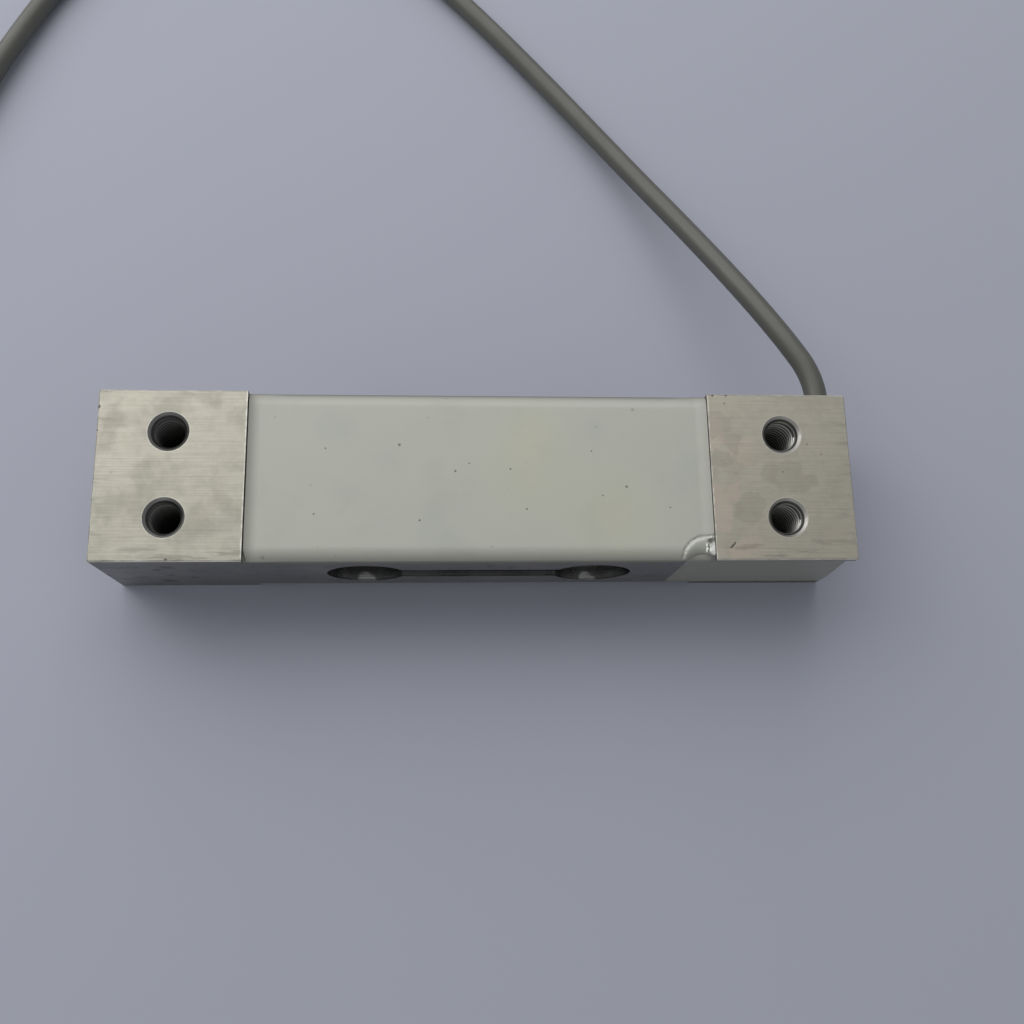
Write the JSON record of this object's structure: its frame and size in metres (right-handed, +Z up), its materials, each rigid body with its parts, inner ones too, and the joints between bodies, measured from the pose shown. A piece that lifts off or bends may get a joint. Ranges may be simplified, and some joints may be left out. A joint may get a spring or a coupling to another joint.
{
  "type": "single point load cell",
  "caption": "Aluminium bending-beam load cell with a binocular opening, silicone-potted gauge recesses and side pocket, tapped mounting holes at each end and a four-core lead.",
  "frame": {"origin": "middle of the beam's underside", "axes": "+X along the beam to the fixed end, where the lead leaves; +Y to the side where the lead comes out; +Z up, the load side"},
  "size_m": [0.2208, 0.1516, 0.022],
  "materials": {
    "beam_aluminium": "milled, satin, lightly stained",
    "potting_silicone": "soft satin, off-white",
    "gauge_film": "amber film",
    "gauge_foil": "etched foil",
    "terminal_laminate": "glass laminate",
    "copper": "tinned copper",
    "enamelled_wire": "enamelled copper",
    "link_insulation": "thin insulation",
    "board_laminate": "glass laminate",
    "solder": "solder, dull",
    "resistor_ceramic": "chip resistor body",
    "core_red": "coloured insulation",
    "core_black": "coloured insulation",
    "core_green": "coloured insulation",
    "core_white": "coloured insulation",
    "cable_jacket": "soft vinyl, grey-green, satin",
    "seal_rubber": "matt",
    "sleeve_plastic": "shrunk tubing",
    "tie_nylon": "natural nylon",
    "tinned_copper": "tinned strands"
  },
  "bodies": {
    "root": {"spring_element": "beam_aluminium", "top_potting": "potting_silicone", "underside_potting": "potting_silicone", "side_potting": "potting_silicone", "gauge_carrier_top_load": "gauge_film", "gauge_grid_top_load": "gauge_foil", "gauge_carrier_top_fixed": "gauge_film", "gauge_grid_top_fixed": "gauge_foil", "terminal_strip_top": "terminal_laminate", "terminal_pads_top": "copper", "jumper_wires_top": "enamelled_wire", "link_wires_top": "link_insulation", "gauge_carrier_underside_load": "gauge_film", "gauge_grid_underside_load": "gauge_foil", "gauge_carrier_underside_fixed": "gauge_film", "gauge_grid_underside_fixed": "gauge_foil", "terminal_strip_underside": "terminal_laminate", "terminal_pads_underside": "copper", "jumper_wires_underside": "enamelled_wire", "link_wires_underside": "link_insulation", "trim_board": "board_laminate", "board_pads": "copper", "solder_joints": "solder", "trim_resistors": "resistor_ceramic", "core_red": "core_red", "lead_red": "core_red", "core_black": "core_black", "lead_black": "core_black", "core_green": "core_green", "lead_green": "core_green", "core_white": "core_white", "lead_white": "core_white", "cable_in_beam": "cable_jacket", "cable_entry_seal": "seal_rubber", "cable_tube": "cable_jacket", "cable_coil": "cable_jacket", "coil_tie": "tie_nylon", "end_sleeve": "sleeve_plastic", "lead_tips": "tinned_copper", "shield_drain": "tinned_copper"}
  },
  "joints": []
}
